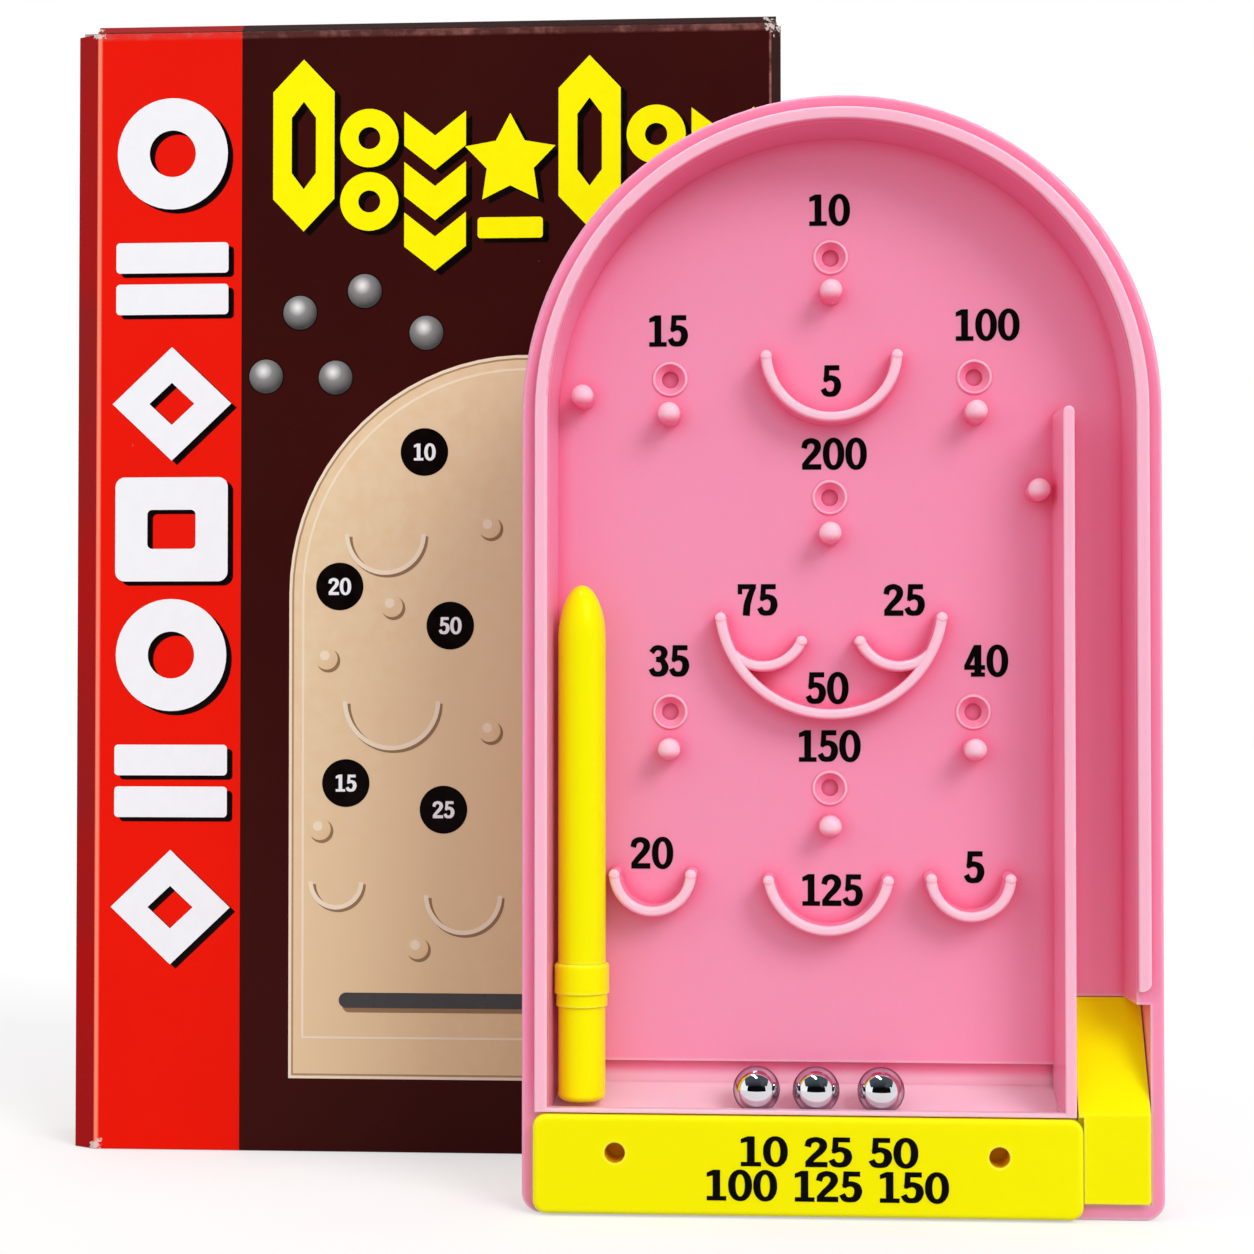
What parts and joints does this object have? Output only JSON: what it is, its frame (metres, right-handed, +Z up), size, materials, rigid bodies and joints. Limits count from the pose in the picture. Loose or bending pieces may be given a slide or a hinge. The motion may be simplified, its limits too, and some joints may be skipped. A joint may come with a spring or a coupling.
{
  "type": "bagatelle board game",
  "caption": "Arched bagatelle tray with pegs, scoring arcs and a ball lane, plus its cover, launch ramp, pushing stick, steel balls and hinged carton.",
  "frame": {"origin": "on the surface that the set stands on, below the middle of the whole set", "axes": "+X to the right across the tray, +Y from the tray's open front to the carton behind, +Z up"},
  "size_m": [0.319, 0.1204, 0.3455],
  "materials": {
    "pink_plastic": "moulded, glossy",
    "yellow_plastic": "moulded, glossy",
    "bright_steel": "polished",
    "printed_board": "printed and varnished",
    "grey_board": "plain, matt"
  },
  "bodies": {
    "tray": {"playfield_tray": "pink_plastic", "launch_ramp": "yellow_plastic"},
    "cover": {"cover_plate": "yellow_plastic"},
    "cue": {"cue_barrel": "yellow_plastic", "cue_plug": "yellow_plastic"},
    "left_ball": {"ball_left": "bright_steel"},
    "middle_ball": {"ball_middle": "bright_steel"},
    "right_ball": {"ball_right": "bright_steel"},
    "carton": {"carton_sleeve": "printed_board", "carton_bottom": "printed_board", "bottom_dust_flaps": "grey_board"},
    "lid": {"carton_lid": "printed_board"},
    "tuck_flap": {"carton_tuck_flap": "grey_board"},
    "dust_flap_left": {"left_dust_flap": "grey_board"},
    "dust_flap_right": {"right_dust_flap": "grey_board"}
  },
  "joints": [
    {"name": "cover_pull", "type": "slide", "parent": "tray", "child": "cover", "axis": [0, -1, 0], "range_m": [0, 0.03]},
    {"name": "cue_lift", "type": "slide", "parent": "tray", "child": "cue", "axis": [0, -0.7071, 0.7071], "range_m": [0, 0.06]},
    {"name": "left_ball_lift", "type": "slide", "parent": "tray", "child": "left_ball", "axis": [0, -0.7071, 0.7071], "range_m": [0, 0.04]},
    {"name": "middle_ball_lift", "type": "slide", "parent": "tray", "child": "middle_ball", "axis": [0, -0.7071, 0.7071], "range_m": [0, 0.04]},
    {"name": "right_ball_lift", "type": "slide", "parent": "tray", "child": "right_ball", "axis": [0, -0.7071, 0.7071], "range_m": [0, 0.04]},
    {"name": "carton_move", "type": "slide", "parent": "tray", "child": "carton", "axis": [0, 1, 0], "range_m": [0, 0.1]},
    {"name": "lid_hinge", "type": "hinge", "parent": "carton", "child": "lid", "pos_m": [-0.05082, 0.06025, 0.3445], "axis": [-1, 0, 0], "range_deg": [0, 110]},
    {"name": "tuck_fold", "type": "hinge", "parent": "lid", "child": "tuck_flap", "pos_m": [-0.05082, 0.02445, 0.3429], "axis": [-1, 0, 0], "range_deg": [-90, 0]},
    {"name": "left_dust_fold", "type": "hinge", "parent": "carton", "child": "dust_flap_left", "pos_m": [-0.15827, 0.04125, 0.343], "axis": [0, 1, 0], "range_deg": [0, 85]},
    {"name": "right_dust_fold", "type": "hinge", "parent": "carton", "child": "dust_flap_right", "pos_m": [0.05663, 0.04125, 0.343], "axis": [0, -1, 0], "range_deg": [0, 85]}
  ],
  "couplings": [
    {"joint": "tuck_fold", "follows": "lid_hinge", "ratio": -0.8}
  ]
}
